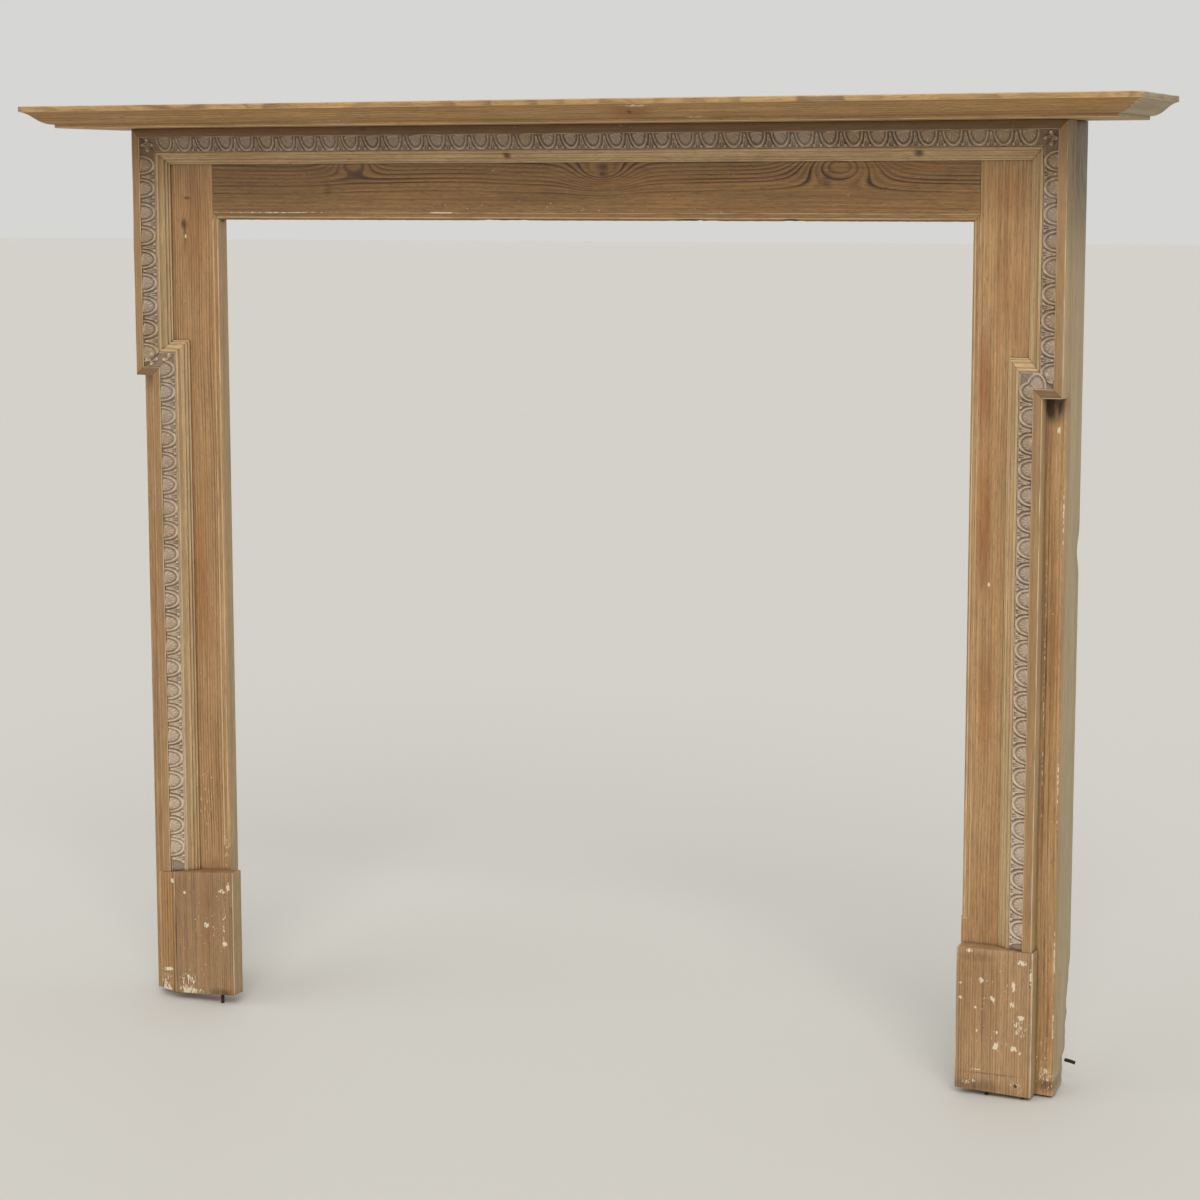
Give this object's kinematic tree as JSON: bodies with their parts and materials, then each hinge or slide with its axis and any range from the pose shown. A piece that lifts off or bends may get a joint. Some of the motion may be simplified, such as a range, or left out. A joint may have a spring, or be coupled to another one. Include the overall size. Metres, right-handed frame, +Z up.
{
  "type": "fireplace mantel",
  "caption": "Eared pine fireplace surround with an egg-and-dart architrave, plinth blocks and a mitred cyma shelf.",
  "frame": {"origin": "centre of the back face of the shelf board, in the plane of the wall that the mantel is fixed to", "axes": "+Z up, +Y into the wall, +X to the right seen from the front, so the front faces -Y"},
  "size_m": [1.498, 0.204, 1.2271],
  "materials": {
    "pine": "stripped and waxed old pine, honey brown",
    "header_pine": "stripped old pine with strong red-brown figure",
    "side_pine": "stripped old pine, dry and olive grey",
    "composition": "pressed composition enrichment, grey-mauve with pale worn rims",
    "iron": "rusted cut nails"
  },
  "bodies": {
    "root": {"shelf_board": "pine", "shelf_front_moulding": "pine", "shelf_left_return_moulding": "side_pine", "shelf_right_return_moulding": "side_pine", "header": "header_pine", "left_stile": "pine", "right_stile": "pine", "left_return": "side_pine", "right_return": "side_pine", "architrave_top": "pine", "egg_and_dart_top": "composition", "architrave_left_upper": "pine", "egg_and_dart_left_upper": "composition", "architrave_left_ear": "pine", "egg_and_dart_left_ear": "composition", "architrave_left_lower": "pine", "egg_and_dart_left_lower": "composition", "architrave_right_upper": "pine", "egg_and_dart_right_upper": "composition", "architrave_right_ear": "pine", "egg_and_dart_right_ear": "composition", "architrave_right_lower": "pine", "egg_and_dart_right_lower": "composition", "left_plinth": "pine", "left_plinth_strip": "pine", "right_plinth": "pine", "left_foot_nail": "iron", "right_foot_inner_nail": "iron", "right_foot_outer_nail": "iron", "right_back_nail": "iron"}
  },
  "joints": []
}
